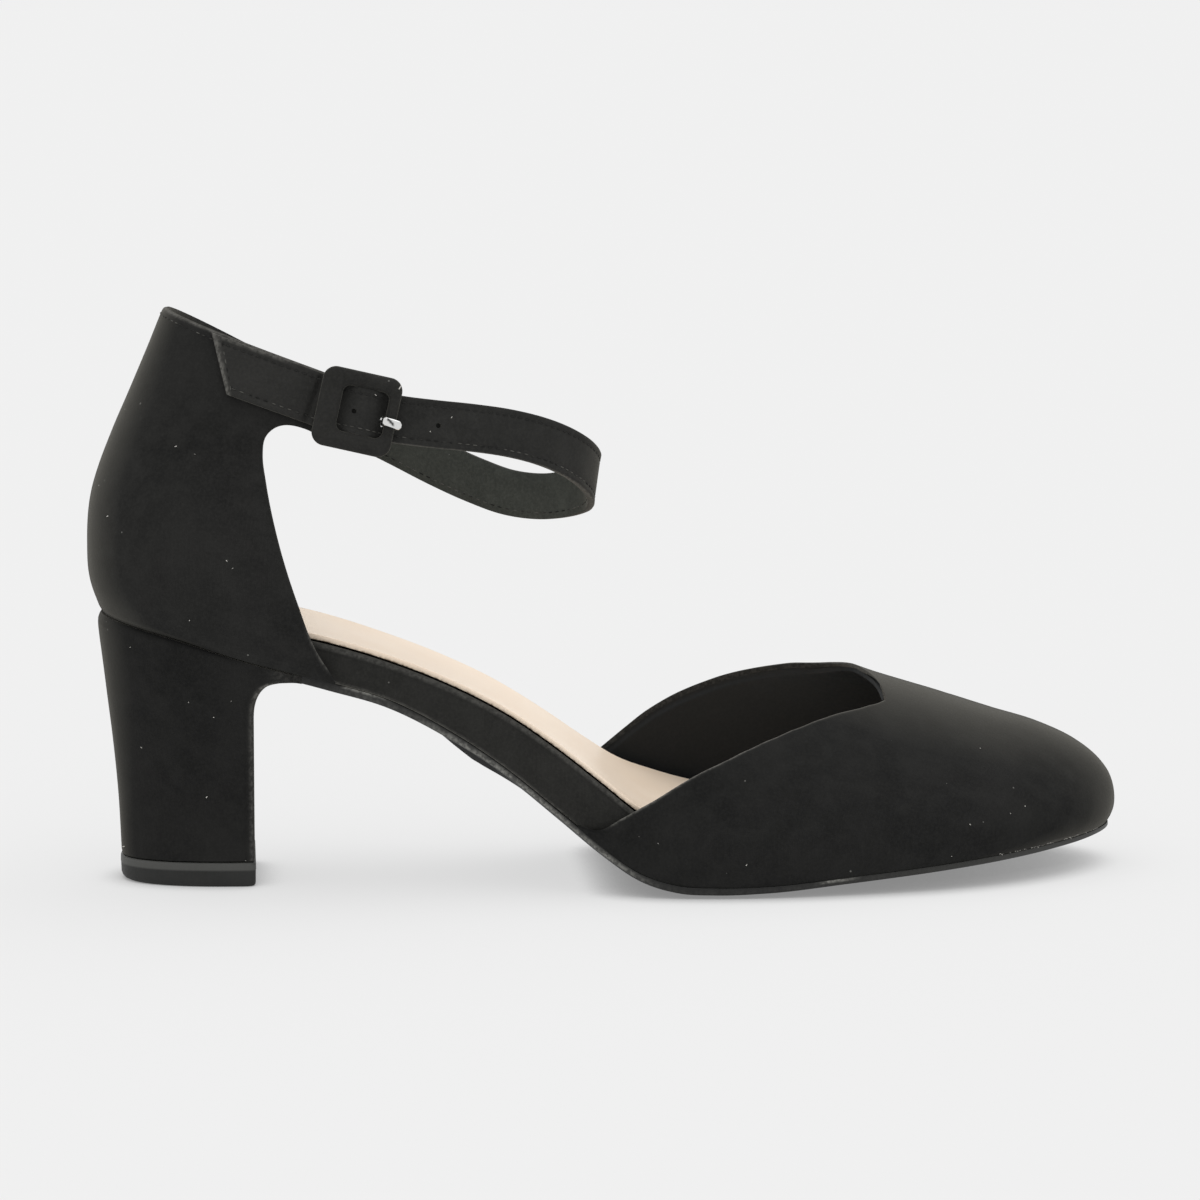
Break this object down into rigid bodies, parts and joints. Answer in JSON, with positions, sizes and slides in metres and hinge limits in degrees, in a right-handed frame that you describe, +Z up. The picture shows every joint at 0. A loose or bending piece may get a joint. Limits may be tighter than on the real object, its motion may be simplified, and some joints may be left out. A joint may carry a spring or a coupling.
{
  "type": "dorsay pump",
  "caption": "Right-foot pump with open sides, a covered block heel, a closed round toe and a buckled ankle strap on a high back quarter.",
  "frame": {"origin": "on the floor, under the middle of the shoe's length and width", "axes": "+X to the toe, +Y to the inner side of the foot, +Z up"},
  "size_m": [0.2324, 0.08, 0.1277],
  "materials": {
    "vamp_suede": "matte black microsuede",
    "quarter_suede": "matte black microsuede",
    "heel_suede": "matte black microsuede over a hard heel",
    "strap_suede": "matte black microsuede with a smooth lining",
    "tab_suede": "matte black microsuede",
    "buckle_suede": "matte black microsuede over a metal frame",
    "board_suede": "matte black microsuede wrapped over a stiff board",
    "sock_leather": "smooth pale beige",
    "sole_rubber": "dark satin with a glossy edge",
    "top_rubber": "dark matte",
    "prong_steel": "polished"
  },
  "bodies": {
    "root": {"upper_vamp": "vamp_suede", "upper_quarter": "quarter_suede", "insole_board": "board_suede", "insole_sock": "sock_leather", "outsole": "sole_rubber", "heel_block": "heel_suede", "heel_top_piece": "top_rubber", "ankle_strap": "strap_suede", "buckle_tab": "tab_suede", "buckle_frame": "buckle_suede", "buckle_prong": "prong_steel"}
  },
  "joints": []
}
